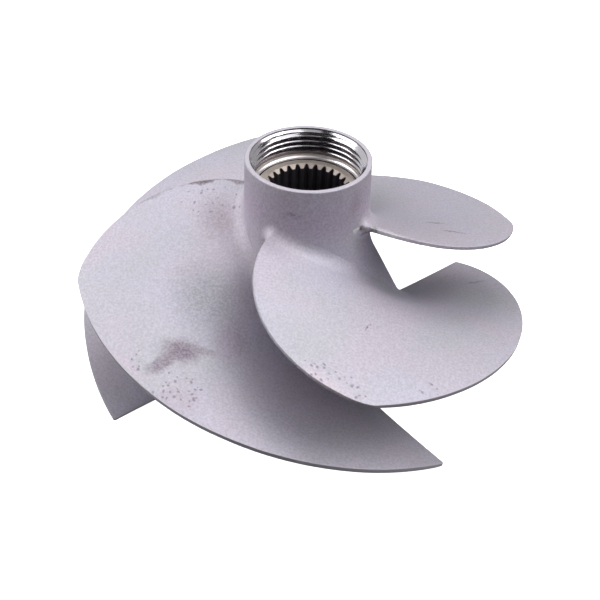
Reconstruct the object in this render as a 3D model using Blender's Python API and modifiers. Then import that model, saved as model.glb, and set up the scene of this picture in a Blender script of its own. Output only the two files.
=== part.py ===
"""Four-bladed pump impeller for a personal watercraft: one stainless casting and its splined bushing.

Units are metres, +Z runs up the shaft axis towards the inlet, and the origin is on the axis in the
plane of the hub's base ring. Sizes are typed in millimetres, and mm() turns them to metres.
"""
import math

import bmesh
import bpy
import numpy as np

COLLECTION = "pump_impeller"

# Main sizes, in millimetres
BLADE_COUNT = 4
TIP_RADIUS = 80.0
HUB_HEIGHT = 79.1
NECK_RADIUS = 21.8
NECK_TAPER = 0.4
BASE_RADIUS = 44.2
BASE_LAND = 3.0
FLARE_RADIUS = 44.0
FLARE_ANGLE = math.radians(26.7)
RIM_CHAMFER = 0.4

# Threaded socket at the inlet end; the thread is left-handed, and depths count down from the rim
THREAD_MAJOR = 19.1
THREAD_MINOR = 18.1
THREAD_PITCH = 2.0
THREAD_TURNS = 5
THREAD_ROOT_FLAT = 0.25
THREAD_START = 1.0
# A quarter step off the hub's own steps, so that no two edges coincide
THREAD_START_ANGLE = math.radians(-59.25)
THREAD_FLANK = math.radians(30)
CUTTER_OVERLAP = 0.15
SOCKET_CHAMFER = 1.7
RELIEF_TOP = 8.3
RELIEF_END = 9.75
RELIEF_RADIUS = 19.2
SOCKET_DEPTH = 11.5

# Splined bushing in its pocket
BUSHING_GAP = 0.3
POCKET_RADIUS = 17.8
POCKET_FLOOR = 42.0
SPLINE_TEETH = 28
SPLINE_PHASE = math.radians(92.1)
SPLINE_TIP_RADIUS = 13.6
SPLINE_ROOT_RADIUS = 14.6
SPLINE_ROOT_HALF = 0.35
SPLINE_FLANK = math.radians(33)
SPLINE_LEAD_IN = 1.1
SPLINE_CLEARANCE = 0.6
BUSHING_CHAMFER = 0.5

# Underside: a hollow round a central boss
HUB_WALL = 4.2
HOLLOW_TOP = 35.0
HOLLOW_ROUND = 4.0
BOSS_RADIUS = 15.5
BOSS_END = 6.0
SHAFT_BORE_RADIUS = 11.0
SHAFT_BORE_CHAMFER = 1.0

# Blade: the leading edge by radius, as angle behind the tip corner and height over the base
LEADING_EDGE = (
    (20.8, -47.4, 60.1),
    (35.7, -41.3, 58.7),
    (50.5, -31.8, 54.9),
    (65.2, -19.0, 49.2),
    (80.0, 0.0, 40.6),
)
LEADING_TIP_ANGLE = -75.2
WRAP_ANGLE = 112.9
TRAILING_HEIGHT = 1.1
# The trailing edge leans back by this much from the tip to the axis
TRAILING_LEAN = -3.7
# Share of the drop to the trailing edge that is done at each quarter of the chord
DESCENT = (0.0, 0.196, 0.404, 0.663, 1.0)
ROOT_RISE = 6.0
ROOT_RISE_SPAN = 0.85
LEADING_CORNER = 3.0
TRAILING_CORNER = 1.7
TIP_THICKNESS = 1.6
ROOT_THICKNESS = 5.2
EDGE_THICKNESS = 1.1
EDGE_TAPER_SPAN = 0.12
ROOT_OVERLAP = 1.6

# Mesh fineness, and the values that joining and shading the meshes take
TURN_STEPS = 60
THREAD_STEPS = 48
BUSHING_STEPS = 56
FLARE_STEPS = 4
HOLLOW_STEPS = 2
CHORD_STEPS = 24
RADIAL_STEPS = 10
ROOT_SEARCH_STEPS = 60
ROOT_SEARCH_GAIN = 0.4
MERGE_DISTANCE = 0.01
CUTTER_REACH = 1.0
SHARP_ANGLE = math.radians(35)


def mm(value):
    """Millimetres to metres."""
    return value / 1000.0


def clear_scene():
    """Remove whatever the scene holds at the start."""
    for item in list(bpy.data.objects):
        bpy.data.objects.remove(item, do_unlink=True)


def make_collection(name):
    """A new collection under the scene."""
    collection = bpy.data.collections.new(name)
    bpy.context.scene.collection.children.link(collection)
    return collection


def make_material(name, colour, metallic, roughness):
    """A Principled material with one colour."""
    material = bpy.data.materials.new(name)
    material.use_nodes = True
    shader = material.node_tree.nodes["Principled BSDF"]
    shader.inputs["Base Color"].default_value = (*colour, 1.0)
    shader.inputs["Metallic"].default_value = metallic
    shader.inputs["Roughness"].default_value = roughness
    return material


def add_object(name, mesh, collection):
    """Put a mesh into the scene as a new object."""
    item = bpy.data.objects.new(name, mesh)
    collection.objects.link(item)
    return item


def outline_mesh(name, points):
    """A closed outline of edges in the XZ plane, from (radius, height) points in millimetres."""
    mesh = bpy.data.meshes.new(name)
    places = [(mm(radius), 0.0, mm(height)) for radius, height in points]
    edges = [(i, (i + 1) % len(places)) for i in range(len(places))]
    mesh.from_pydata(places, edges, [])
    return mesh


def turn(item, steps, pitch=0.0, turns=1):
    """Turn an outline about Z with a Screw modifier, along a helix if it has a pitch."""
    screw = item.modifiers.new("turn", "SCREW")
    screw.axis = "Z"
    screw.angle = math.tau
    screw.screw_offset = mm(pitch)
    screw.iterations = turns
    screw.steps = steps
    screw.render_steps = steps
    screw.use_merge_vertices = pitch == 0.0
    screw.merge_threshold = mm(MERGE_DISTANCE)


def evaluated_copy(item, collection):
    """A plain mesh object with the modifiers of another applied; the other is removed."""
    graph = bpy.context.evaluated_depsgraph_get()
    mesh = bpy.data.meshes.new_from_object(item.evaluated_get(graph))
    name = item.name
    bpy.data.objects.remove(item, do_unlink=True)
    mesh.name = name
    return add_object(name, mesh, collection)


def combine(item, other, operation):
    """Join or cut an item with another by an exact Boolean modifier."""
    boolean = item.modifiers.new(other.name, "BOOLEAN")
    boolean.operation = operation
    boolean.solver = "EXACT"
    boolean.object = other
    other.hide_render = True
    other.display_type = "WIRE"


def shade_round(item):
    """Smooth shading with sharp edges where faces meet at a large angle."""
    item.data.shade_smooth()
    item.data.set_sharp_from_angle(angle=SHARP_ANGLE)


def flare_points():
    """The hub's outer side from the neck to the base ring: a straight neck, an arc and a cone."""
    cone_top = BASE_LAND + (BASE_RADIUS - NECK_RADIUS) / math.tan(FLARE_ANGLE)
    reach = FLARE_RADIUS * math.tan(FLARE_ANGLE / 2)
    points = [(NECK_RADIUS - NECK_TAPER, HUB_HEIGHT - RIM_CHAMFER)]
    for step in range(FLARE_STEPS + 1):
        angle = FLARE_ANGLE * step / FLARE_STEPS
        radius = NECK_RADIUS + FLARE_RADIUS * (1 - math.cos(angle))
        height = cone_top + reach - FLARE_RADIUS * math.sin(angle)
        points.append((radius, height))
    points.append((BASE_RADIUS, BASE_LAND))
    points.append((BASE_RADIUS, 0.0))
    return points


def hub_radius(height):
    """The hub's outer radius at a height."""
    points = flare_points()
    heights = [point[1] for point in reversed(points)]
    radii = [point[0] for point in reversed(points)]
    return float(np.interp(height, heights, radii))


def hollow_points():
    """The underside's hollow, from the base ring up the wall, round the top and down the boss."""
    slope = math.tan(FLARE_ANGLE)
    wall_base = BASE_RADIUS - HUB_WALL
    wall_top = wall_base - (HOLLOW_TOP - HOLLOW_ROUND) * slope
    points = [(wall_base, 0.0), (wall_top, HOLLOW_TOP - HOLLOW_ROUND)]
    middle = (wall_top + BOSS_RADIUS) / 2
    reach = wall_top - middle
    for step in range(1, 2 * HOLLOW_STEPS):
        angle = math.pi * step / (2 * HOLLOW_STEPS)
        points.append((middle + reach * math.cos(angle), HOLLOW_TOP - HOLLOW_ROUND * (1 - math.sin(angle))))
    points.append((BOSS_RADIUS, HOLLOW_TOP - HOLLOW_ROUND))
    points.append((BOSS_RADIUS, BOSS_END))
    return points


def bore_points():
    """The bore from the boss's end up through the shaft bore, the pocket and the socket to the rim."""
    return [
        (SHAFT_BORE_RADIUS + SHAFT_BORE_CHAMFER, BOSS_END),
        (SHAFT_BORE_RADIUS, BOSS_END + SHAFT_BORE_CHAMFER),
        (SHAFT_BORE_RADIUS, POCKET_FLOOR),
        (POCKET_RADIUS, POCKET_FLOOR),
        (POCKET_RADIUS, HUB_HEIGHT - SOCKET_DEPTH),
        (RELIEF_RADIUS, HUB_HEIGHT - RELIEF_END),
        (RELIEF_RADIUS, HUB_HEIGHT - RELIEF_TOP),
        (THREAD_MINOR, HUB_HEIGHT - RELIEF_TOP),
        (THREAD_MINOR, HUB_HEIGHT - SOCKET_CHAMFER),
        (THREAD_MINOR + SOCKET_CHAMFER, HUB_HEIGHT),
        (NECK_RADIUS - NECK_TAPER - RIM_CHAMFER, HUB_HEIGHT),
    ]


def make_hub(collection):
    """The turned body of the casting, before its blades and its thread."""
    outline = flare_points() + hollow_points() + bore_points()
    hub = add_object("impeller_casting", outline_mesh("impeller_casting", outline), collection)
    turn(hub, TURN_STEPS)
    return evaluated_copy(hub, collection)


def make_thread_cutter(collection):
    """The helical groove of the socket's left-hand thread, as a closed body to cut with."""
    inner = THREAD_MINOR - CUTTER_OVERLAP
    start = HUB_HEIGHT + THREAD_START
    half = THREAD_ROOT_FLAT / 2
    wide = half + (THREAD_MAJOR - inner) * math.tan(THREAD_FLANK)
    outline = [
        (THREAD_MAJOR, start + half),
        (THREAD_MAJOR, start - half),
        (inner, start - wide),
        (inner, start + wide),
    ]
    cutter = add_object("thread_groove", outline_mesh("thread_groove", outline), collection)
    turn(cutter, THREAD_STEPS, -THREAD_PITCH, THREAD_TURNS)
    cutter = evaluated_copy(cutter, collection)
    cutter.rotation_euler.z = THREAD_START_ANGLE
    shape = bmesh.new()
    shape.from_mesh(cutter.data)
    bmesh.ops.holes_fill(shape, edges=shape.edges, sides=len(outline))
    bmesh.ops.recalc_face_normals(shape, faces=shape.faces)
    shape.to_mesh(cutter.data)
    shape.free()
    return cutter


def curve_through(places, values):
    """The polynomial that passes through the given values."""
    return np.poly1d(np.polyfit(places, values, len(places) - 1))


LEAD_ANGLE = curve_through([row[0] for row in LEADING_EDGE], [row[1] for row in LEADING_EDGE])
LEAD_HEIGHT = curve_through([row[0] for row in LEADING_EDGE], [row[2] for row in LEADING_EDGE])
DROP_SHARE = curve_through(np.linspace(0, 1, len(DESCENT)), DESCENT)


def blade_place(chord, radius):
    """The blade's middle surface at a share of the chord and a radius: its angle and its height."""
    trail_angle = WRAP_ANGLE + TRAILING_LEAN * (TIP_RADIUS - radius) / TIP_RADIUS
    angle = LEAD_ANGLE(radius) * (1 - chord) + trail_angle * chord
    lead = LEAD_HEIGHT(radius)
    height = lead - (lead - TRAILING_HEIGHT) * DROP_SHARE(chord)
    inward = (TIP_RADIUS - radius) / (TIP_RADIUS - NECK_RADIUS)
    rise = ROOT_RISE * math.sin(math.pi * min(chord / ROOT_RISE_SPAN, 1.0)) * max(inward, 0.0) ** 3
    return math.radians(LEADING_TIP_ANGLE + angle), height + rise


def corner_cut(radius, size):
    """How far along the tip circle a round corner of this size cuts the blade back at a radius."""
    into = min(max(radius - (TIP_RADIUS - size), 0.0) / size, 1.0)
    return size * (1 - math.sqrt(1 - into * into))


def chord_between_corners(share, radius):
    """The share of the chord for a share of the blade's length between its two rounded tip corners."""
    arc = math.radians(WRAP_ANGLE) * TIP_RADIUS
    start = corner_cut(radius, LEADING_CORNER) / arc
    end = 1 - corner_cut(radius, TRAILING_CORNER) / arc
    return start + (end - start) * share


def root_radius(chord):
    """The radius at which the blade's middle surface meets the hub, for a share of the chord."""
    radius = NECK_RADIUS
    for _ in range(ROOT_SEARCH_STEPS):
        hub = hub_radius(blade_place(chord, radius)[1])
        radius += ROOT_SEARCH_GAIN * (hub - radius)
    return radius


def blade_thickness(share, radius):
    """The blade is thick at its root and thins towards its tip and its two edges."""
    inward = (TIP_RADIUS - radius) / (TIP_RADIUS - NECK_RADIUS)
    thickness = TIP_THICKNESS + (ROOT_THICKNESS - TIP_THICKNESS) * max(inward, 0.0) ** 2
    edge = min(share, 1 - share) / EDGE_TAPER_SPAN
    return EDGE_THICKNESS + (thickness - EDGE_THICKNESS) * math.sqrt(min(edge, 1.0))


def make_blade(number, collection):
    """One blade: a grid on its middle surface, finer at root and tip, made solid by Solidify."""
    name = f"blade_{number}"
    grid = bmesh.new()
    bmesh.ops.create_grid(grid, x_segments=CHORD_STEPS, y_segments=RADIAL_STEPS, size=1.0)
    grid.verts.index_update()
    turned = math.tau * number / BLADE_COUNT
    weights = {}
    for vertex in grid.verts:
        share = (vertex.co.x + 1) / 2
        outward = (1 + math.sin(math.pi / 2 * vertex.co.y)) / 2
        start = root_radius(share) - ROOT_OVERLAP
        radius = start + (TIP_RADIUS - start) * outward
        angle, height = blade_place(chord_between_corners(share, radius), radius)
        weights[vertex.index] = blade_thickness(share, radius) / ROOT_THICKNESS
        vertex.co = (mm(radius * math.cos(angle + turned)), mm(radius * math.sin(angle + turned)), mm(height))
    mesh = bpy.data.meshes.new(name)
    grid.to_mesh(mesh)
    grid.free()
    blade = add_object(name, mesh, collection)
    group = blade.vertex_groups.new(name="thickness")
    for index, weight in weights.items():
        group.add([index], min(weight, 1.0), "REPLACE")
    skin = blade.modifiers.new("thickness", "SOLIDIFY")
    skin.thickness = mm(ROOT_THICKNESS)
    skin.offset = 0.0
    skin.vertex_group = group.name
    return evaluated_copy(blade, collection)


def make_casting(parts, cutters):
    """The hub with its blades joined on and its thread cut."""
    casting = make_hub(parts)
    for number in range(BLADE_COUNT):
        combine(casting, make_blade(number, cutters), "UNION")
    combine(casting, make_thread_cutter(cutters), "DIFFERENCE")
    casting.data.materials.append(make_material("cast_stainless", (0.60, 0.58, 0.64), 0.85, 0.45))
    shade_round(casting)
    return casting


def spline_outline():
    """Points round the notches that are cut into the bushing's bore, in millimetres."""
    inner = SPLINE_TIP_RADIUS - SPLINE_CLEARANCE
    inner_half = SPLINE_ROOT_HALF + (SPLINE_ROOT_RADIUS - inner) * math.tan(SPLINE_FLANK)
    points = []
    for tooth in range(SPLINE_TEETH):
        middle = SPLINE_PHASE + math.tau * tooth / SPLINE_TEETH
        for radius, half in (
            (inner, -inner_half),
            (SPLINE_ROOT_RADIUS, -SPLINE_ROOT_HALF),
            (SPLINE_ROOT_RADIUS, SPLINE_ROOT_HALF),
            (inner, inner_half),
        ):
            angle = middle + half / radius
            points.append((radius * math.cos(angle), radius * math.sin(angle)))
    return points


def make_spline_cutter(low, high, collection):
    """A star-shaped prism that cuts the notches, between two heights in millimetres."""
    shape = bmesh.new()
    corners = [shape.verts.new((mm(x), mm(y), mm(low))) for x, y in spline_outline()]
    face = shape.faces.new(corners)
    extruded = bmesh.ops.extrude_face_region(shape, geom=[face])
    top = [item for item in extruded["geom"] if isinstance(item, bmesh.types.BMVert)]
    bmesh.ops.translate(shape, verts=top, vec=(0, 0, mm(high - low)))
    bmesh.ops.recalc_face_normals(shape, faces=shape.faces)
    mesh = bpy.data.meshes.new("spline_notches")
    shape.to_mesh(mesh)
    shape.free()
    return add_object("spline_notches", mesh, collection)


def make_bushing(parts, cutters):
    """The splined bushing: a turned sleeve with notches cut into its bore."""
    low = POCKET_FLOOR + BUSHING_GAP
    high = HUB_HEIGHT - SOCKET_DEPTH
    outer = POCKET_RADIUS - BUSHING_GAP
    outline = [
        (outer, high),
        (outer, low + BUSHING_CHAMFER),
        (outer - BUSHING_CHAMFER, low),
        (SPLINE_TIP_RADIUS, low),
        (SPLINE_TIP_RADIUS, high - SPLINE_LEAD_IN),
        (SPLINE_TIP_RADIUS + SPLINE_LEAD_IN, high),
    ]
    bushing = add_object("spline_bushing", outline_mesh("spline_bushing", outline), parts)
    turn(bushing, BUSHING_STEPS)
    bushing = evaluated_copy(bushing, parts)
    combine(bushing, make_spline_cutter(low - CUTTER_REACH, high + CUTTER_REACH, cutters), "DIFFERENCE")
    bushing.data.materials.append(make_material("spline_steel", (0.78, 0.74, 0.68), 1.0, 0.3))
    shade_round(bushing)
    return bushing


def main():
    """Build the impeller."""
    clear_scene()
    parts = make_collection(COLLECTION)
    cutters = make_collection("cutters")
    make_casting(parts, cutters)
    make_bushing(parts, cutters)


main()
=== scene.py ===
"""A used four-bladed pump impeller for a personal watercraft, dressed and lit as in its photograph.

The object is one bead-blasted stainless casting with a bright machined socket, and the splined
bushing in the bottom of that socket. Sizes are typed in millimetres in the CAD's own frame: the
origin is on the shaft axis in the plane of the base ring, and +Z runs up towards the inlet.
"""
from __future__ import annotations

import logging
import math
from abc import ABC, abstractmethod
from collections.abc import Callable, Sequence
from dataclasses import dataclass, field
from enum import Enum

import bpy
import numpy as np
from mathutils import Matrix, Vector, noise

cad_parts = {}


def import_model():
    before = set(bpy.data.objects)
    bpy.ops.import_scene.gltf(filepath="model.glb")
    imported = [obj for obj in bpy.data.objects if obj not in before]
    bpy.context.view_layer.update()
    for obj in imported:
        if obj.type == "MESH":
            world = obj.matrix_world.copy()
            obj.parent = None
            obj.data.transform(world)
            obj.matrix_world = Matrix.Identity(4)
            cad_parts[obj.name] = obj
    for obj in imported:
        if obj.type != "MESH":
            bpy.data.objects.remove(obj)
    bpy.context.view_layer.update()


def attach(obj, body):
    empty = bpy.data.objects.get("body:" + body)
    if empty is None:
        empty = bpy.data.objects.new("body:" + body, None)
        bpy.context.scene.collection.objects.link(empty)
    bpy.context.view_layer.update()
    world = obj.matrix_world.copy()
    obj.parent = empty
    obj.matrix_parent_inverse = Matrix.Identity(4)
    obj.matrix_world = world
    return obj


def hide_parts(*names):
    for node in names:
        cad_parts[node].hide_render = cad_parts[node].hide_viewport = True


LOG = logging.getLogger("impeller")

Point = tuple[float, float]
Place = tuple[float, float, float]
Socket = bpy.types.NodeSocket
Tree = bpy.types.NodeTree


class Surface(Enum):
    """How a face of the object was left by its maker."""

    BLASTED = "cast and bead blasted"
    THREADED = "thread, cut on a lathe"
    COVED = "turned cove at the foot of the thread"
    OILED = "bored, and oily"
    TURNED_OUTSIDE = "turned to size, then blasted"
    RELIEF = "relief groove under the thread"
    GROUND = "end face of the bushing"
    SPLINED = "oily splines"
    COUNTERSUNK = "worn countersink of the splines"


def mm(value: float) -> float:
    """Millimetres to metres."""
    return value / 1000.0


def off_axis(place: Vector) -> float:
    """Distance of a place from the shaft axis, in millimetres."""
    return math.hypot(place.x, place.y) * 1000


def at_radius(place: Vector, radius: float, height: float) -> Vector:
    """Move a place straight out to a radius, and up to a height, both in millimetres."""
    grow = radius / off_axis(place)
    return Vector((place.x * grow, place.y * grow, mm(height)))


def smooth_step(value: float) -> float:
    """An S-shaped ramp from 0 to 1 for a value from 0 to 1, held flat outside that range."""
    share = min(max(value, 0.0), 1.0)
    return share * share * (3 - 2 * share)


def cast_waviness(place: Vector, amount: float, size: float) -> float:
    """How far a cast surface's soft swellings lift a place; amount and size are in millimetres too."""
    return amount * noise.noise(place / mm(size))


def curve_through(places: Sequence[float], values: Sequence[float]) -> np.poly1d:
    """The polynomial that passes through the given values."""
    return np.poly1d(np.polyfit(places, values, len(places) - 1))


def linear(hex_colour: str) -> tuple[float, float, float, float]:
    """Turn an sRGB hex colour to linear red, green, blue and alpha.

    Args:
        hex_colour: Six hex digits with a leading hash.

    Returns:
        The linear colour that a shader socket takes.
    """
    parts = [int(hex_colour[i : i + 2], 16) / 255 for i in (1, 3, 5)]
    red, green, blue = (p / 12.92 if p <= 0.04045 else ((p + 0.055) / 1.055) ** 2.4 for p in parts)
    return red, green, blue, 1.0


def deselect_everything() -> None:
    """Leave edit mode and clear the selection, because an operator acts on all that is selected."""
    if bpy.context.mode != "OBJECT":
        bpy.ops.object.mode_set(mode="OBJECT")
    bpy.ops.object.select_all(action="DESELECT")


def only(item: bpy.types.Object) -> None:
    """Make one object the selected and active one.

    Args:
        item: The object that the next operators act on.
    """
    deselect_everything()
    item.select_set(True)
    bpy.context.view_layer.objects.active = item


def lay_vertices(item: bpy.types.Object, place: Callable[[Vector], Sequence[float]]) -> None:
    """Put every vertex of a mesh where a rule says.

    Args:
        item: The object whose mesh is laid.
        place: Gives the new coordinates in metres for the old ones.
    """
    for vertex in item.data.vertices:
        vertex.co = place(vertex.co.copy())
    item.data.update()


def apply_modifiers(item: bpy.types.Object) -> None:
    """Apply all modifiers of an object in their order.

    Args:
        item: The object that keeps the result as its mesh.
    """
    only(item)
    for modifier in list(item.modifiers):
        bpy.ops.object.modifier_apply(modifier=modifier.name)


def close_and_face_out(item: bpy.types.Object, gap: float = 0.002) -> None:
    """Merge the doubles of a mesh and turn its faces outwards.

    Args:
        item: The object whose mesh is closed.
        gap: Vertices closer than this many millimetres become one; at 0 none do.
    """
    only(item)
    bpy.ops.object.mode_set(mode="EDIT")
    bpy.ops.mesh.select_all(action="SELECT")
    if gap:
        bpy.ops.mesh.remove_doubles(threshold=mm(gap))
    bpy.ops.mesh.normals_make_consistent(inside=False)
    bpy.ops.object.mode_set(mode="OBJECT")


def round_corners(corners: Sequence[Place], steps: int = 4) -> list[Point]:
    """Round the corners of a closed outline.

    Args:
        corners: Radius, height and rounding of each corner, in millimetres.
        steps: Straight pieces in each rounding.

    Returns:
        The points of the rounded outline.
    """
    points: list[Point] = []
    for index, (radius, height, rounding) in enumerate(corners):
        if rounding == 0.0:
            points.append((radius, height))
            continue
        here = Vector((radius, height))
        before = (Vector(corners[index - 1][:2]) - here).normalized()
        after = (Vector(corners[(index + 1) % len(corners)][:2]) - here).normalized()
        half = before.angle(after) / 2
        reach = rounding / math.tan(half)
        middle = here + (before + after).normalized() * (rounding / math.sin(half))
        first = here + before * reach - middle
        last = here + after * reach - middle
        for step in range(steps + 1):
            spot = middle + first.lerp(last, step / steps).normalized() * rounding
            points.append((spot.x, spot.y))
    return points


def split_long_steps(points: Sequence[Point], longest: float) -> list[Point]:
    """Add points to a closed outline where its steps are long.

    Args:
        points: Radius and height of the outline's points, in millimetres.
        longest: The longest step that stays whole.

    Returns:
        The finer outline.
    """
    finer: list[Point] = []
    for index, start in enumerate(points):
        end = points[(index + 1) % len(points)]
        pieces = max(1, math.ceil(math.dist(start, end) / longest))
        for piece in range(pieces):
            share = piece / pieces
            finer.append((start[0] + (end[0] - start[0]) * share, start[1] + (end[1] - start[1]) * share))
    return finer


def extrude_ring(rise: float, grow: float, height: float) -> None:
    """Extrude the selected ring upwards, then widen it about the axis.

    Args:
        rise: How far the new ring lies over the old one, in metres.
        grow: The new ring's radius as a share of the old one's.
        height: Height of the new ring in metres.
    """
    bpy.ops.mesh.extrude_region_move(TRANSFORM_OT_translate={"value": (0, 0, rise)})
    bpy.ops.transform.resize(value=(grow, grow, 1), center_override=(0, 0, height))


def turned_body(name: str, outline: Sequence[Point], segments: int) -> bpy.types.Object:
    """Turn a closed outline about Z, ring after ring, as on a lathe.

    Args:
        name: Name of the new object.
        outline: Radius and height of the outline's points, in millimetres.
        segments: Steps round the axis.

    Returns:
        The closed body.
    """
    deselect_everything()
    radius, height = outline[0]
    bpy.ops.mesh.primitive_circle_add(vertices=segments, radius=mm(radius), fill_type="NOTHING")
    body = bpy.context.object
    body.name = body.data.name = name
    bpy.ops.object.mode_set(mode="EDIT")
    bpy.ops.transform.translate(value=(0, 0, mm(height)))
    for (radius, height), (next_radius, next_height) in zip(outline, [*outline[1:], outline[0]]):
        extrude_ring(mm(next_height - height), next_radius / radius, mm(next_height))
    close_and_face_out(body)
    return body


@dataclass
class Hub:
    """The turned body of the casting: neck, flare, base ring, underside hollow, bore and socket."""

    # Outer side; the flare is an arc from the neck to the cone
    height: float = 79.1
    neck_radius: float = 21.8
    neck_taper: float = 0.4
    base_radius: float = 44.2
    base_land: float = 3.0
    flare_radius: float = 44.0
    flare_angle: float = math.radians(26.7)
    edge_round: float = 0.4
    waviness: float = 0.12
    swelling: float = 14.0
    # The cast side stays even this far up from the base and down from the rim
    even_base: float = 2.0
    even_rim: float = 1.0
    # What lies further inside the neck's radius than this isn't the cast side
    skin: float = 0.6
    # Underside and bore
    wall: float = 4.2
    hollow_top: float = 35.0
    hollow_round: float = 4.0
    boss_radius: float = 15.5
    boss_end: float = 6.0
    boss_round: float = 0.8
    bore_radius: float = 11.0
    bore_chamfer: float = 1.0
    pocket_radius: float = 17.8
    pocket_floor: float = 42.0
    # Socket; depths count down from the rim
    mouth_radius: float = 19.75
    mouth_depth: float = 0.7
    mouth_round: float = 0.2
    relief_top: float = 8.3
    relief_end: float = 9.75
    relief_radius: float = 19.2
    relief_round: float = 0.25
    socket_depth: float = 11.5
    ledge_chamfer: float = 0.1
    # The cove shines over this width next to the ledge, and this much of its top takes the groove's painted
    # shade
    bright_cove: float = 0.8
    shaded_cove_top: float = 0.3
    # Thread, left-handed
    thread_minor: float = 18.1
    thread_major: float = 19.1
    thread_pitch: float = 2.0
    thread_root_flat: float = 0.55
    thread_flank: float = math.radians(30)
    first_groove_depth: float = 1.45
    first_groove_turn: float = math.radians(90)
    crest_wear: float = 0.1
    # The thread keeps this far off the relief groove and off the step of the mouth
    thread_margin: float = 0.1
    # Fineness of the mesh, and how close is as good as touching
    thread_row: float = 0.124
    long_step: float = 2.0
    segments: int = 192
    flare_steps: int = 14
    cove_steps: int = 8
    near: float = 0.02

    def outer_side(self) -> list[Place]:
        """Lay out the side that shows.

        Returns:
            Its corners with their rounding, from the rim down to the base ring.
        """
        cone_top = self.base_land + (self.base_radius - self.neck_radius) / math.tan(self.flare_angle)
        reach = self.flare_radius * math.tan(self.flare_angle / 2)
        corners = [(self.neck_radius - self.neck_taper, self.height, self.edge_round)]
        for step in range(self.flare_steps + 1):
            angle = self.flare_angle * step / self.flare_steps
            radius = self.neck_radius + self.flare_radius * (1 - math.cos(angle))
            corners.append((radius, cone_top + reach - self.flare_radius * math.sin(angle), 0.0))
        corners.append((self.base_radius, self.base_land, 0.0))
        corners.append((self.base_radius, 0.0, self.edge_round))
        return corners

    def underside(self) -> list[Place]:
        """Lay out the hollow and its boss.

        Returns:
            Their corners with their rounding, from the base ring in to the bore.
        """
        wall_base = self.base_radius - self.wall
        wall_top = wall_base - self.hollow_top * math.tan(self.flare_angle)
        return [
            (wall_base, 0.0, self.edge_round),
            (wall_top, self.hollow_top, self.hollow_round),
            (self.boss_radius, self.hollow_top, self.hollow_round),
            (self.boss_radius, self.boss_end, self.boss_round),
            (self.bore_radius + self.bore_chamfer, self.boss_end, 0.0),
            (self.bore_radius, self.boss_end + self.bore_chamfer, 0.0),
        ]

    def bore(self) -> list[Place]:
        """Lay out the bore below the thread: shaft bore, pocket, coved ledge and relief groove.

        Returns:
            Its corners with their rounding, from the boss up to the thread.
        """
        ledge = self.pocket_radius + self.ledge_chamfer
        ledge_height = self.height - self.socket_depth
        corners = [
            (self.bore_radius, self.pocket_floor, 0.0),
            (self.pocket_radius, self.pocket_floor, 0.0),
            (self.pocket_radius, ledge_height - self.ledge_chamfer, 0.0),
            (ledge, ledge_height, 0.0),
        ]
        deep = self.socket_depth - self.relief_end
        for step in range(1, self.cove_steps + 1):
            angle = math.pi / 2 * step / self.cove_steps
            radius = ledge + (self.relief_radius - ledge) * math.sin(angle)
            corners.append((radius, ledge_height + deep * (1 - math.cos(angle)), 0.0))
        corners.append((self.relief_radius, self.height - self.relief_top, self.relief_round))
        corners.append((self.thread_minor, self.height - self.relief_top, 0.0))
        return corners

    def thread_rows(self) -> list[Place]:
        """Lay out the threaded wall and its chamfer, close enough to carve the thread in.

        Returns:
            Their corners with their rounding, from the relief groove up to the rim.
        """
        rows = math.ceil(self.relief_top / self.thread_row)
        corners = []
        for row in range(1, rows + 1):
            depth = self.relief_top * (1 - row / rows)
            if depth < self.mouth_depth:
                break
            radius = max(self.mouth_radius - (depth - self.mouth_depth), self.thread_minor)
            corners.append((radius, self.height - depth, 0.0))
        corners.append((self.mouth_radius, self.height - self.mouth_depth, 0.0))
        corners.append((self.mouth_radius, self.height, self.mouth_round))
        return corners

    def off_groove(self, angle: float, depth: float) -> float:
        """Measure how far a depth is below the middle of the groove's nearest turn.

        Args:
            angle: Angle round the axis in radians.
            depth: Depth below the rim in millimetres.

        Returns:
            The distance in millimetres, negative above the middle.
        """
        turns = (angle - self.first_groove_turn) / math.tau
        along = (depth - self.first_groove_depth) / self.thread_pitch - turns
        return (along - round(along)) * self.thread_pitch

    def crest_off(self) -> float:
        """How far off a groove's middle its flank ends at the worn crest, in millimetres."""
        deep = self.thread_major - self.thread_minor - self.crest_wear
        return self.thread_root_flat / 2 + deep * math.tan(self.thread_flank)

    def groove_radius(self, off: float) -> float:
        """Say how deep the thread groove is cut, with its crests worn off.

        Args:
            off: Distance from the groove's middle in millimetres.

        Returns:
            The radius of the cut in millimetres.
        """
        flank = self.thread_major - max(off - self.thread_root_flat / 2, 0.0) / math.tan(self.thread_flank)
        worn = min(1 - (off - self.crest_off()) / self.thread_row, 1.0)
        return max(flank, self.thread_minor + self.crest_wear * worn)

    def snapped_depth(self, angle: float, depth: float) -> float:
        """Move a row onto the groove's edge if one is close, so that the edges run round clean.

        Args:
            angle: Angle round the axis in radians.
            depth: Depth of the row below the rim in millimetres.

        Returns:
            The depth of the edge, or the given depth if no edge is within half a row.
        """
        middle = depth - self.off_groove(angle, depth)
        half = self.thread_root_flat / 2
        steep = 1 / math.tan(self.thread_flank)
        chamfer = self.mouth_radius + self.mouth_depth
        for side in (-1, 1):
            crest = middle + side * self.crest_off()
            if crest < chamfer - self.thread_minor:
                crest = (chamfer - self.thread_major - steep * (half + side * middle)) / (1 - steep * side)
            for edge in (middle + side * half, crest, crest + side * self.thread_row):
                if abs(depth - edge) <= self.thread_row / 2 and edge > self.mouth_depth + self.thread_margin:
                    return edge
        return depth

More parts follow.
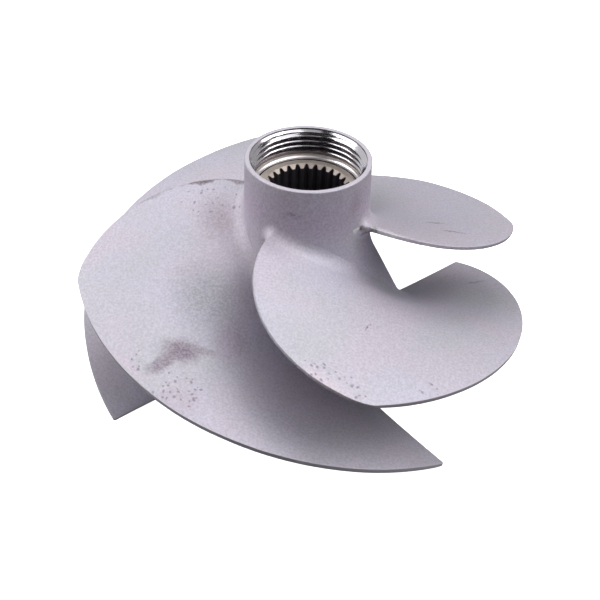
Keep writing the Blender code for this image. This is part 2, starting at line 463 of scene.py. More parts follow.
    def shape_vertex(self, place: Vector) -> Vector:
        """Carve the thread, and leave the cast outer side slightly uneven.

        Args:
            place: Where the vertex was turned, in metres.

        Returns:
            Where it belongs.
        """
        radius = off_axis(place)
        height = place.z * 1000
        depth = self.height - height
        if radius < self.mouth_radius - self.near and depth < self.relief_top - self.thread_margin:
            angle = math.atan2(place.y, place.x)
            depth = self.snapped_depth(angle, depth)
            wall = max(self.mouth_radius + self.mouth_depth - depth, self.thread_minor)
            cut = self.groove_radius(abs(self.off_groove(angle, depth)))
            return at_radius(place, max(wall, cut), self.height - depth)
        if radius > self.neck_radius - self.skin and self.even_base < height < self.height - self.even_rim:
            uneven = cast_waviness(place, self.waviness, self.swelling) - self.waviness / 2
            return at_radius(place, radius + uneven, height)
        return place

    def surface_of(self, face: bpy.types.MeshPolygon) -> Surface:
        """Tell how a face of the casting was left, by its place.

        Args:
            face: A face of the hub or of a blade.

        Returns:
            Its surface.
        """
        radius = off_axis(face.center)
        depth = self.height - face.center.z * 1000
        ledge = self.pocket_radius + self.ledge_chamfer
        in_painted_shade = depth < self.relief_end + self.shaded_cove_top
        if radius > Blade.tip_radius - Blade.edge_round or depth < self.near / 2:
            return Surface.TURNED_OUTSIDE
        if radius < self.mouth_radius + self.near and depth < self.relief_top:
            return Surface.THREADED
        # The groove and the top of the cove get the groove's painted shade
        if ledge + self.bright_cove < radius < self.mouth_radius and in_painted_shade:
            return Surface.RELIEF
        if radius < self.relief_radius and depth < self.socket_depth + self.near:
            return Surface.COVED
        if radius < ledge and depth < self.height - self.boss_end - self.bore_chamfer:
            return Surface.OILED
        return Surface.BLASTED

    def build(self) -> bpy.types.Object:
        """Turn the hub and carve its thread.

        Returns:
            The closed hub.
        """
        corners = [*self.outer_side(), *self.underside(), *self.bore(), *self.thread_rows()]
        outline = split_long_steps(round_corners(corners), self.long_step)
        body = turned_body("hub", outline, self.segments)
        lay_vertices(body, self.shape_vertex)
        return body


@dataclass(frozen=True)
class Nick:
    """A small dent in a leading edge, at a radius, with its depth and half width in millimetres."""

    radius: float
    depth: float
    half_width: float


@dataclass
class Blade:
    """One spiral blade: a curved sheet that is thick at its root and thin at its tip."""

    number: int
    nicks: tuple[Nick, ...] = ()
    turn: float = math.radians(-75.2)
    tip_radius: float = 80.0
    neck_radius: float = 21.8
    # Angles round the axis in degrees, counted from the leading tip corner
    wrap: float = 112.9
    trailing_lean: float = -3.7
    trailing_height: float = 1.1
    root_rise: float = 6.0
    root_rise_span: float = 0.85
    leading_corner: float = 3.0
    trailing_corner: float = 0.8
    tip_thickness: float = 1.6
    root_thickness: float = 3.4
    edge_thickness: float = 1.1
    edge_taper_span: float = 0.09
    edge_round: float = 0.3
    edge_angle: float = math.radians(50)
    edge_segments: int = 3
    edge_wear: float = 0.08
    wear_size: float = 3.0
    # Each blade reads the noise this far from the next, so that no two wear alike
    wear_apart: float = 7.3
    root_overlap: float = 1.2
    fillet_radius: float = 4.2
    fillet_sink: float = 0.15
    # The fillet runs out at the blade's two ends over this many times its own height
    fillet_run_out: float = 0.9
    # Past the fillet, the blade comes free of the hub's shape over this many times its radius
    fillet_blend: float = 1.5
    waviness: float = 0.16
    swelling: float = 16.0
    calm_height: float = 4.0
    lowest: float = 0.15
    # Rows of the mesh; along the chord they draw together at the two edges
    chord_rows: int = 132
    end_crowding: float = 0.4
    buried_rows: int = 2
    fillet_rows: int = 12
    span_rows: int = 17
    tip_rows: int = 7
    # How often and how far the search for the hub's side steps towards it
    search_steps: int = 40
    search_share: float = 0.4
    # Radius, angle behind the tip corner and height of the leading edge
    leading_edge: tuple[Place, ...] = (
        (20.8, -47.4, 60.1),
        (35.7, -41.3, 58.7),
        (50.5, -31.8, 54.9),
        (65.2, -19.0, 49.2),
        (80.0, 0.0, 40.6),
    )
    # Share of the drop to the trailing edge that is done at each quarter of the chord
    descent: tuple[float, ...] = (0.0, 0.196, 0.404, 0.663, 1.0)
    lead_angle: np.poly1d = field(init=False)
    lead_height: np.poly1d = field(init=False)
    drop_share: np.poly1d = field(init=False)

    def __post_init__(self) -> None:
        """Draw the curves through the measured points."""
        radii, angles, heights = zip(*self.leading_edge)
        self.lead_angle = curve_through(radii, angles)
        self.lead_height = curve_through(radii, heights)
        self.drop_share = curve_through(np.linspace(0, 1, len(self.descent)), self.descent)

    def inward(self, radius: float) -> float:
        """How far a radius is from the tip towards the neck, from 0 to 1."""
        return max((self.tip_radius - radius) / (self.tip_radius - self.neck_radius), 0.0)

    def middle(self, chord: float, radius: float) -> Point:
        """Find a point of the blade's middle surface.

        Args:
            chord: Share of the chord, from the leading edge to the trailing one.
            radius: Distance from the axis in millimetres.

        Returns:
            Angle in radians and height in millimetres.
        """
        trail_angle = self.wrap + self.trailing_lean * (self.tip_radius - radius) / self.tip_radius
        angle = self.lead_angle(radius) * (1 - chord) + trail_angle * chord
        lead = self.lead_height(radius)
        height = lead - (lead - self.trailing_height) * self.drop_share(chord)
        along = min(max(chord / self.root_rise_span, 0.0), 1.0)
        rise = self.root_rise * math.sin(math.pi * along) * self.inward(radius) ** 3
        return self.turn + math.radians(angle), height + rise

    def corner_cut(self, radius: float, size: float) -> float:
        """How far along the tip circle a round corner of a size cuts the blade back at a radius."""
        into = min(max(radius - (self.tip_radius - size), 0.0) / size, 1.0)
        return size * (1 - math.sqrt(1 - into * into))

    def edge_loss(self, radius: float) -> float:
        """Measure how far wear and nicks have taken the leading edge back.

        Args:
            radius: Distance from the axis in millimetres.

        Returns:
            The loss in millimetres.
        """
        spot = Vector((radius / self.wear_size, self.number * self.wear_apart, 0.0))
        worn = self.edge_wear * (1 + noise.noise(spot))
        for nick in self.nicks:
            worn += nick.depth * math.exp(-(((radius - nick.radius) / nick.half_width) ** 2))
        return worn

    def chord_length(self, radius: float) -> float:
        """Measure the blade along its slope.

        Args:
            radius: Distance from the axis in millimetres.

        Returns:
            Its length at that radius in millimetres.
        """
        trail_angle = self.wrap + self.trailing_lean * self.inward(radius)
        around = math.radians(trail_angle - self.lead_angle(radius)) * radius
        return math.hypot(around, self.lead_height(radius) - self.trailing_height)

    def chord_at(self, share: float, radius: float, off_hub: float) -> float:
        """Turn a share of the length between the worn and rounded edges to one of the whole chord.

        Args:
            share: Share of the length, from the leading edge to the trailing one.
            radius: Distance from the axis in millimetres.
            off_hub: Distance from the hub's side in millimetres, because the root fillet runs
                round the leading edge too.

        Returns:
            The share of the chord, under 0 where the fillet reaches past the leading edge.
        """
        arc = math.radians(self.wrap) * self.tip_radius
        flare = self.fillet(off_hub) / self.chord_length(radius)
        start = (self.corner_cut(radius, self.leading_corner) + self.edge_loss(radius)) / arc - flare
        end = 1 - self.corner_cut(radius, self.trailing_corner) / arc
        return start + (end - start) * share

    def root_radius(self, chord: float, hub_heights: Sequence[float], hub_radii: Sequence[float]) -> float:
        """Find where the middle surface meets the hub, by stepping towards it.

        Args:
            chord: Share of the chord.
            hub_heights: Heights along the hub's side, from the base up.
            hub_radii: Radius of the hub's side at each of them.

        Returns:
            The radius in millimetres.
        """
        radius = self.neck_radius
        for _ in range(self.search_steps):
            hub = float(np.interp(self.middle(chord, radius)[1], hub_heights, hub_radii))
            radius += self.search_share * (hub - radius)
        return radius

    def fillet(self, off_hub: float) -> float:
        """How high the round root fillet stands over the plain blade at a distance off the hub."""
        near = min(max(1 - off_hub / self.fillet_radius, 0.0), 1.0)
        return self.fillet_radius * (1 - math.sqrt(1 - near * near))

    def thickness(self, share: float, radius: float, off_hub: float) -> float:
        """Work out how thick the blade is, with its root fillet.

        Args:
            share: Share of the length, from the leading edge to the trailing one.
            radius: Distance from the axis in millimetres.
            off_hub: Distance from the hub's side in millimetres.

        Returns:
            The thickness in millimetres.
        """
        from_end = min(share, 1 - share)
        full = self.tip_thickness + (self.root_thickness - self.tip_thickness) * self.inward(radius) ** 2
        edge = math.sqrt(min(max(from_end / self.edge_taper_span, 0.0), 1.0))
        plain = self.edge_thickness + (full - self.edge_thickness) * edge
        high = self.fillet(off_hub)
        if high == 0.0:
            return plain
        past_end = from_end * self.chord_length(radius) / (self.fillet_run_out * high)
        return plain + 2 * high * math.sqrt(1 - (1 - min(past_end, 1.0)) ** 2)

    def row_radii(self, start: float) -> list[float]:
        """Space the grid's rows, close together in the root fillet and at the rounded tip corners.

        Args:
            start: Radius of the hub's side in millimetres.

        Returns:
            One radius for each row, from inside the hub to the tip.
        """
        fillet_end = start + self.fillet_radius
        corner_start = self.tip_radius - self.leading_corner
        radii = list(np.linspace(start - self.root_overlap, start, self.buried_rows, endpoint=False))
        for row in range(self.fillet_rows):
            radii.append(start + self.fillet_radius * (1 - math.cos(math.pi / 2 * row / self.fillet_rows)))
        radii += list(np.linspace(fillet_end, corner_start, self.span_rows, endpoint=False))
        for row in range(self.tip_rows + 1):
            radii.append(corner_start + self.leading_corner * math.sin(math.pi / 2 * row / self.tip_rows))
        return radii

    def sheet(self, heights: Sequence[float], radii: Sequence[float], thickest: float) -> bpy.types.Object:
        """Lay a grid on the middle surface, with its thickness and its distance off the hub noted.

        Args:
            heights: Heights along the hub's side in millimetres, from the base up.
            radii: Radius of the hub's side at each of them.
            thickest: The thickness that the full weight stands for, in millimetres.

        Returns:
            The open sheet.
        """
        rows = self.buried_rows + self.fillet_rows + self.span_rows + self.tip_rows
        deselect_everything()
        bpy.ops.mesh.primitive_grid_add(x_subdivisions=self.chord_rows, y_subdivisions=rows, size=2)
        sheet = bpy.context.object
        sheet.name = sheet.data.name = f"blade_{self.number}"
        group = sheet.vertex_groups.new(name="thickness")
        distances: list[float] = []
        columns: dict[int, tuple[float, list[float]]] = {}
        for vertex in sheet.data.vertices:
            even = (vertex.co.x + 1) / 2
            crowded = (1 - math.cos(math.pi * even)) / 2
            share = (1 - self.end_crowding) * even + self.end_crowding * crowded
            column = round(even * self.chord_rows)
            if column not in columns:
                hub_side = self.root_radius(share, heights, radii)
                columns[column] = hub_side, self.row_radii(hub_side)
            hub_side, row_radii = columns[column]
            radius = row_radii[round((vertex.co.y + 1) / 2 * rows)]
            off_hub = radius - hub_side
            angle, height = self.middle(self.chord_at(share, radius, off_hub), radius)
            vertex.co = (mm(radius * math.cos(angle)), mm(radius * math.sin(angle)), mm(height))
            group.add([vertex.index], self.thickness(share, radius, off_hub) / thickest, "REPLACE")
            distances.append(off_hub)
        sheet.data.attributes.new("off_hub", "FLOAT", "POINT").data.foreach_set("value", distances)
        return sheet

    def finish_vertex(self, place: Vector, hub_side: float, off_hub: float) -> Vector:
        """Set the root fillet against the hub, leave the sheet uneven and trim it to the tip circle.

        Args:
            place: Where the vertex is, in metres.
            hub_side: Radius of the hub's side at the vertex's height, in millimetres.
            off_hub: How far off the hub's side the vertex belongs, in millimetres.

        Returns:
            Where the vertex belongs.
        """
        free = smooth_step((off_hub / self.fillet_radius - 1) / self.fillet_blend)
        wanted = free * off_axis(place) + (1 - free) * (hub_side + off_hub - self.fillet_sink)
        uneven = cast_waviness(place + Vector((self.number, 0, 0)), self.waviness, self.swelling)
        height = place.z * 1000
        height += uneven * min(height / self.calm_height, 1.0)
        return at_radius(place, min(wanted, self.tip_radius), max(height, self.lowest))

    def build(self, hub: Hub) -> bpy.types.Object:
        """Make the sheet solid, finish its root and its tip, and round its edges.

        Args:
            hub: The hub that the blade stands on.

        Returns:
            The closed blade, with its root inside the hub.
        """
        heights, radii = zip(*sorted((height, radius) for radius, height, _ in hub.outer_side()))
        thickest = self.root_thickness + 2 * self.fillet_radius
        blade = self.sheet(heights, radii, thickest)
        skin = blade.modifiers.new("thickness", "SOLIDIFY")
        skin.thickness = mm(thickest)
        skin.offset = 0.0
        skin.vertex_group = "thickness"
        apply_modifiers(blade)
        turned = Matrix.Rotation(math.tau * self.number / 4, 4, "Z")
        for vertex, entry in zip(blade.data.vertices, blade.data.attributes["off_hub"].data):
            hub_side = float(np.interp(vertex.co.z * 1000, heights, radii))
            vertex.co = turned @ self.finish_vertex(vertex.co, hub_side, entry.value)
        blade.vertex_groups.clear()
        edge = blade.modifiers.new("edge", "BEVEL")
        edge.width = mm(self.edge_round)
        edge.segments = self.edge_segments
        edge.limit_method = "ANGLE"
        edge.angle_limit = self.edge_angle
        apply_modifiers(blade)
        close_and_face_out(blade, 0.0)
        return blade


def add_node(
    tree: Tree, kind: str, inputs: dict[str | int, object] | None = None, **settings: object
) -> bpy.types.Node:
    """Add a shader node with its settings, its input values and its links.

    Args:
        tree: The node tree that takes it.
        kind: Blender's name of the node type, after the "ShaderNode" that all of them start with.
        inputs: A value or another node's output socket for each input, by name or number.
        settings: Properties of the node.

    Returns:
        The new node.
    """
    node = tree.nodes.new(f"ShaderNode{kind}")
    for name, value in settings.items():
        setattr(node, name, value)
    for name, value in (inputs or {}).items():
        if isinstance(value, Socket):
            tree.links.new(value, node.inputs[name])
        else:
            node.inputs[name].default_value = value
    return node


def new_material(name: str, values: dict[str, object]) -> tuple[bpy.types.Material, Tree, bpy.types.Node]:
    """Start a Principled material.

    Args:
        name: Name of the material.
        values: What its shader's own sockets are set to.

    Returns:
        The material, its node tree and its shader node.
    """
    material = bpy.data.materials.new(name)
    material.use_nodes = True
    shader = material.node_tree.nodes["Principled BSDF"]
    for socket, value in values.items():
        shader.inputs[socket].default_value = value
    return material, material.node_tree, shader


@dataclass(frozen=True)
class Mark:
    """A soft-edged place on the casting, with its centre and half sizes in millimetres.

    The sizes run along the mark's own axes, which are turned about Z by the turn in degrees. The
    core is the share of the way out at which it starts to fade.
    """

    centre: Place
    size: Place
    turn: float
    strength: float
    core: float

    def mask(self, tree: Tree, place: Socket) -> Socket:
        """Add the nodes that are at full strength in the middle of the mark and fade to 0 at its edge.

        Args:
            tree: The material's node tree.
            place: Where on the object, in millimetres.

        Returns:
            The socket that gives the mask.
        """
        frame = {"Location": self.centre, "Rotation": (0, 0, math.radians(self.turn)), "Scale": self.size}
        own = add_node(tree, "Mapping", {"Vector": place, **frame}, vector_type="TEXTURE")
        away = add_node(tree, "VectorMath", {0: own.outputs[0]}, operation="LENGTH").outputs["Value"]
        ramp = {"Value": away, "From Min": 1.0, "From Max": self.core, "To Max": self.strength}
        return add_node(tree, "MapRange", ramp, interpolation_type="SMOOTHSTEP").outputs[0]


class Wear(Enum):
    """How the colour of a mark is laid on, for what use has done and for painted shade."""

    # Stains, and the painted shade marks too, are laid in the grain's hollows
    STAIN_AND_SHADE = "a film that sits in the hollows"
    POLISHED = "rubbed bright all over"


@dataclass(frozen=True)
class Tint(Mark):
    """A mark that changes the colour."""

    colour: str
    wear: Wear = Wear.STAIN_AND_SHADE


# What use has left on the casting, and a little painted shade, by the blade that carries it
TINTS = (
    # Neck of the hub: a purplish film, a greener patch on the right and a dark smear
    Tint((0.0, 0.0, 68.0), (27.0, 27.0, 19.0), 0.0, 0.7, 0.75, "#D3C7D7"),
    Tint((17.0, -13.6, 57.5), (4.5, 4.0, 10.0), 0.0, 0.7, 0.3, "#D1D1D6"),
    Tint((-5.0, -20.9, 69.9), (4.5, 2.0, 1.4), 0.0, 0.5, 0.2, "#A79BAA"),
    Tint((16.0, -14.0, 71.0), (5.0, 4.0, 6.0), 0.0, 0.4, 0.2, "#BFB2BF"),
    # Front left blade: the smudge, the rim by the pitted tip, the stained root, and darker bands along the
    # leading edge
    Tint((-39.0, -48.6, 34.3), (9.5, 6.8, 7.0), -8.0, 0.95, 0.1, "#A195A2"),
    Tint((-31.5, -47.5, 33.9), (6.0, 2.4, 6.0), 0.0, 0.7, 0.1, "#B0A6B1"),
    Tint((-44.4, -54.0, 33.5), (9.0, 3.8, 6.0), 44.0, 0.85, 0.1, "#A69BA8"),
    Tint((-54.0, -57.0, 33.5), (16.0, 3.4, 4.0), -41.0, 0.6, 0.1, "#DED5DF"),
    Tint((-37.0, -66.5, 29.5), (11.0, 7.0, 5.0), -25.0, 0.6, 0.2, "#D6CBD6"),
    Tint((-30.0, -2.0, 55.0), (10.0, 14.0, 9.0), 12.0, 0.6, 0.1, "#BDB2BD"),
    Tint((-36.5, 15.8, 57.9), (13.0, 1.9, 4.0), 2.0, 0.85, 0.3, "#8D838A"),
    Tint((-23.0, 13.0, 59.5), (9.0, 1.6, 4.0), -18.0, 0.8, 0.4, "#A0969F"),
    Tint((-54.5, 12.0, 53.0), (12.0, 1.6, 5.0), 27.0, 0.5, 0.3, "#ADA5AF"),
    Tint((-23.0, -42.0, 33.5), (8.0, 13.0, 8.0), 0.0, 0.5, 0.2, "#C4B2C6"),
    Tint((-33.0, -28.0, 40.0), (17.0, 26.0, 12.0), 20.0, 0.6, 0.1, "#AEB0B5"),
    # Front right blade: the worn leading edge and two scratches
    Tint((8.0, -72.8, 45.2), (19.0, 3.6, 5.0), -29.0, 0.7, 0.2, "#E3DAE2", Wear.POLISHED),
    Tint((20.8, -45.4, 44.5), (3.4, 0.5, 3.0), 60.0, 0.8, 0.2, "#9A95A0"),
    Tint((67.0, 23.0, 11.5), (6.0, 1.4, 4.0), 20.0, 0.5, 0.2, "#9E99A4"),
    # Right rear blade: streaks on its top, a worn and chipped leading edge by the hub, and painted shade
    # under that edge
    Tint((46.0, 7.5, 49.5), (6.0, 1.0, 3.0), 12.0, 0.7, 0.2, "#908B98"),
    Tint((51.6, 0.0, 51.1), (5.5, 1.0, 3.0), 10.0, 0.7, 0.2, "#908B98"),
    Tint((27.0, -14.2, 59.8), (10.0, 2.6, 3.5), -22.0, 0.9, 0.4, "#EBE8ED", Wear.POLISHED),
    # Painted shade: two dark marks stand in for the shade under the leading edge by the hub
    Tint((21.5, -13.0, 58.4), (5.0, 3.6, 3.4), -22.0, 0.8, 0.2, "#77707A"),
    Tint((18.5, -13.2, 60.3), (2.2, 2.0, 1.6), 0.0, 0.95, 0.2, "#6F6670"),
    Tint((16.9, -14.0, 60.4), (1.5, 1.5, 1.2), 0.0, 1.0, 0.3, "#F6F3F5", Wear.POLISHED),
)

# Where the blades are pitted: the front left one at its tip and root, the front right one at its edge
PITTED = (
    Mark((-37.8, -63.5, 30.5), (9.5, 8.5, 6.0), 0.0, 0.85, 0.6),
    Mark((-52.7, -54.0, 34.0), (4.5, 4.5, 4.0), 0.0, 0.8, 0.6),
    Mark((-33.0, 6.0, 56.0), (14.0, 12.0, 8.0), 10.0, 0.28, 0.5),
    Mark((10.0, -71.0, 45.0), (20.0, 6.0, 6.0), -27.0, 0.7, 0.6),
    Mark((40.0, -65.0, 38.0), (6.0, 4.0, 5.0), 40.0, 0.6, 0.6),
)


@dataclass(frozen=True)
class SteelFinish(ABC):
    """What all finishes here share: bare steel with a pattern in the object's own millimetres."""

    name: str
    colour: str
    roughness: float

    @abstractmethod
    def texture(self, tree: Tree, shader: bpy.types.Node, place: Socket) -> None:
        """Give the plain steel the pattern that its making left.

        Args:
            tree: The material's node tree.
            shader: Its shader node.
            place: Where on the object, in millimetres.
        """

    def make(self) -> bpy.types.Material:
        """Build the material.

        Returns:
            The finished material.
        """
        values = {"Metallic": 1.0, "Base Color": linear(self.colour), "Roughness": self.roughness}
        material, tree, shader = new_material(self.name, values)
        coords = add_node(tree, "TexCoord")
        scaled = add_node(tree, "Mapping", {"Vector": coords.outputs["Object"], "Scale": (1000,) * 3})
        self.texture(tree, shader, scaled.outputs[0])
        return material


@dataclass(frozen=True)
class BlastedStainless(SteelFinish):
    """Cast stainless steel, bead blasted: a soft grey with a violet cast and a fine sparkle.

    The tones are averages of what blasted steel reflects; blasting makes it far rougher than a cut.
    """

    name: str = "bead_blasted_cast_stainless"
    colour: str = "#D8D5E1"
    roughness: float = 0.74
    neutral: str = "#D4D3DA"
    pink: str = "#DAD4DE"
    cloud_size: float = 34.0
    clouds_apart: float = 300.0
    # The beads' dimples of 0.1 to 0.2 mm are too fine to show, so the grain is drawn at 0.75 mm
    grain_size: float = 0.75
    grain_contrast: float = 0.09
    grain_roughness: float = 0.05
    # Stains sit in the hollows of the grain, so they break up into specks; the painted shade marks are
    # broken up the same way
    speck_contrast: float = 0.4
    faintest_speck: float = 0.75
    stain_ragged: float = 4.0
    rag_size: float = 3.0
    pit_ragged: float = 2.0
    pit_colour: str = "#B4ABB8"
    pit_spacing: float = 2.1
    pit_radius: float = 0.62
    smallest_pit: float = 0.4
    pit_depth: float = 0.7

    def texture(self, tree: Tree, shader: bpy.types.Node, place: Socket) -> None:
        """Lay clouds, stains, painted shade, pits and grain over each other, as colour, roughness and
        relief.

        Args:
            tree: The material's node tree.
            shader: Its shader node.
            place: Where on the object, in millimetres.
        """
        fine = {"Vector": place, "Scale": 1 / self.grain_size, "Detail": 1.0}
        grain = add_node(tree, "TexNoise", fine).outputs["Fac"]
        stained_and_shaded = self.stained_and_shaded(tree, place, grain, self.clouded(tree, place))
        pits = self.pits(tree, self.ruffled(tree, place, self.pit_ragged))
        over = {0: pits, 6: stained_and_shaded, 7: linear(self.pit_colour)}
        pitted = add_node(tree, "Mix", over, data_type="RGBA").outputs[2]
        contrast = {"To Min": 1 - self.grain_contrast, "To Max": 1 + self.grain_contrast}
        shade = add_node(tree, "MapRange", {"Value": grain, "From Min": 0.3, "From Max": 0.7, **contrast})
        grainy = add_node(tree, "VectorMath", {0: pitted, "Scale": shade.outputs[0]}, operation="SCALE")
        tree.links.new(grainy.outputs[0], shader.inputs["Base Color"])
        low, high = self.roughness - self.grain_roughness, self.roughness + self.grain_roughness
        rough = add_node(tree, "MapRange", {"Value": grain, "To Min": low, "To Max": high})
        tree.links.new(rough.outputs[0], shader.inputs["Roughness"])
        height = add_node(tree, "Math", {0: pits, 1: -self.pit_depth, 2: grain}, operation="MULTIPLY_ADD")
        bump = add_node(tree, "Bump", {"Height": height.outputs[0], "Strength": 0.35, "Distance": mm(0.12)})
        tree.links.new(bump.outputs[0], shader.inputs["Normal"])

    def clouded(self, tree: Tree, place: Socket) -> Socket:
        """Blend the three tones in soft clouds, as an unevenly blasted casting has them.

        Args:
            tree: The material's node tree.
            place: Where on the object, in millimetres.

        Returns:
            The socket of the blended colour.
        """
        colour: object = linear(self.colour)
        for shift, tone in ((0.0, self.neutral), (self.clouds_apart, self.pink)):
            moved = add_node(tree, "Mapping", {"Vector": place, "Location": (shift, 0.0, 0.0)}).outputs[0]
            soft = {"Vector": moved, "Scale": 1 / self.cloud_size, "Detail": 3.0}
            cloud = add_node(tree, "TexNoise", soft).outputs["Fac"]
            ramp = {"Value": cloud, "From Min": 0.42, "From Max": 0.62}
            over = {0: add_node(tree, "MapRange", ramp).outputs[0], 6: colour, 7: linear(tone)}
            colour = add_node(tree, "Mix", over, data_type="RGBA").outputs[2]
        return colour

    def stained_and_shaded(self, tree: Tree, place: Socket, grain: Socket, colour: Socket) -> Socket:
        """Lay the stains, the painted shade and the rubbed places over a colour.

        Args:
            tree: The material's node tree.
            place: Where on the object, in millimetres.
            grain: Height of the blasted grain, from 0 to 1.
            colour: The colour of the clean metal.

        Returns:
            The socket of the colour with its stains, painted shade and rubbed places.
        """
        ragged = self.ruffled(tree, place, self.stain_ragged)
        hollow = add_node(tree, "MapRange", {"Value": grain, "From Min": 0.62, "From Max": 0.36}).outputs[0]
        broken = {0: hollow, 1: self.speck_contrast, 2: self.faintest_speck}
        specks = add_node(tree, "Math", broken, operation="MULTIPLY_ADD").outputs[0]
        for tint in TINTS:
            share = tint.mask(tree, ragged)
            if tint.wear is Wear.STAIN_AND_SHADE:
                share = add_node(tree, "Math", {0: specks, 1: share}, operation="MULTIPLY").outputs[0]
            over = {0: share, 6: colour, 7: linear(tint.colour)}
            colour = add_node(tree, "Mix", over, data_type="RGBA").outputs[2]
        return colour

    def ruffled(self, tree: Tree, place: Socket, spread: float) -> Socket:
        """Shift places by noise, so that a mark has a ragged edge.

        Args:
            tree: The material's node tree.
            place: Where on the object, in millimetres.
            spread: Width of the shift in millimetres.

        Returns:
            The socket of the shifted places.
        """
        rags = add_node(tree, "TexNoise", {"Vector": place, "Scale": 1 / self.rag_size, "Detail": 3.0})
        centred = {0: rags.outputs["Color"], 1: (0.5, 0.5, 0.5)}
        shift = add_node(tree, "VectorMath", centred, operation="SUBTRACT").outputs[0]
        spread_out = {0: shift, 1: (spread,) * 3, 2: place}
        return add_node(tree, "VectorMath", spread_out, operation="MULTIPLY_ADD").outputs[0]

    def pits(self, tree: Tree, place: Socket) -> Socket:
        """Scatter small round pits of mixed size over the pitted places.

        They are laid out flat, as seen from above, because only the tops of the blades have them.

        Args:
            tree: The material's node tree.
            place: Where on the object, in millimetres.

        Returns:
            The socket that is 1 inside a pit and 0 outside.
        """
        grid = {"Vector": place, "Scale": 1 / self.pit_spacing}
        cells = add_node(tree, "TexVoronoi", grid, voronoi_dimensions="2D")
        chance = add_node(tree, "SeparateColor", {0: cells.outputs["Color"]})
        share: object = 0.0
        for mark in PITTED:
            either = {0: share, 1: mark.mask(tree, place)}
            share = add_node(tree, "Math", either, operation="MAXIMUM").outputs[0]
        drawn = {0: chance.outputs["Red"], 1: share}
        here = add_node(tree, "Math", drawn, operation="LESS_THAN").outputs[0]
        widest = self.pit_radius / self.pit_spacing
        sizes = {"Value": chance.outputs["Green"], "To Min": self.smallest_pit * widest, "To Max": widest}
        radius = add_node(tree, "MapRange", sizes).outputs[0]
        into = {0: radius, 1: cells.outputs["Distance"]}
        inside = add_node(tree, "Math", into, operation="SUBTRACT").outputs[0]
        soft = add_node(tree, "MapRange", {"Value": inside, "From Min": -0.06, "From Max": 0.1}).outputs[0]
        return add_node(tree, "Math", {0: here, 1: soft}, operation="MULTIPLY").outputs[0]


@dataclass(frozen=True)
class TurnedStainless(SteelFinish):
    """Stainless steel cut on a lathe: bright, with fine rings that run round the axis."""

    # The tool's feed of about 0.1 mm is too fine to show, so the rings are drawn at 0.25 mm
    ring_pitch: float = 0.25
    # A ring keeps its depth over about this length
    ring_length: float = 16.667
    ring_depth: float = 0.12

    def texture(self, tree: Tree, shader: bpy.types.Node, place: Socket) -> None:
        """Press the tool's rings into the surface.

        Args:
            tree: The material's node tree.
            shader: Its shader node.
            place: Where on the object, in millimetres.
        """
        fine = (1 / self.ring_length, 1 / self.ring_length, 1 / self.ring_pitch)
        squeezed = add_node(tree, "Mapping", {"Vector": place, "Scale": fine}).outputs[0]
        rings = add_node(tree, "TexNoise", {"Vector": squeezed, "Scale": 1.0, "Detail": 2.0}).outputs["Fac"]
        bump = add_node(tree, "Bump", {"Height": rings, "Strength": self.ring_depth, "Distance": mm(0.03)})
        tree.links.new(bump.outputs[0], shader.inputs["Normal"])


@dataclass(frozen=True)
class GroundSteel(SteelFinish):
    """Hardened steel, ground or broached: satin and a little warm, with faint blotches of old oil."""

    blotch_size: float = 2.857
    # Share of the clean colour that the dullest blotches keep
    dulling: float = 0.8

    def texture(self, tree: Tree, shader: bpy.types.Node, place: Socket) -> None:
        """Dull the steel in blotches.

        Args:
            tree: The material's node tree.
            shader: Its shader node.
            place: Where on the object, in millimetres.
        """
        uneven = {"Vector": place, "Scale": 1 / self.blotch_size, "Detail": 4.0}
        blotches = add_node(tree, "TexNoise", uneven).outputs["Fac"]
        clean = linear(self.colour)
        dull = (*(self.dulling * part for part in clean[:3]), 1.0)
        tone = add_node(tree, "Mix", {0: blotches, 6: dull, 7: clean}, data_type="RGBA")
        tree.links.new(tone.outputs[2], shader.inputs["Base Color"])


def dress_faces(
    item: bpy.types.Object,
    finishes: dict[Surface, SteelFinish],
    surface_of: Callable[[bpy.types.MeshPolygon], Surface],
    smooth_angle: float,
) -> None:
    """Give each face its finish, and shade the piece smooth between its edges.

    Args:
        item: The piece.
        finishes: The finish of each surface that it has.
        surface_of: Tells which surface a face belongs to.
        smooth_angle: Faces that meet at less than this angle, in radians, look like one.
    """
    # A union leaves an empty material slot behind
    item.data.materials.clear()
    for finish in finishes.values():
        item.data.materials.append(finish.make())
    slots = {surface: slot for slot, surface in enumerate(finishes)}
    for face in item.data.polygons:
        face.material_index = slots[surface_of(face)]
    only(item)
    bpy.ops.object.shade_smooth_by_angle(angle=smooth_angle)


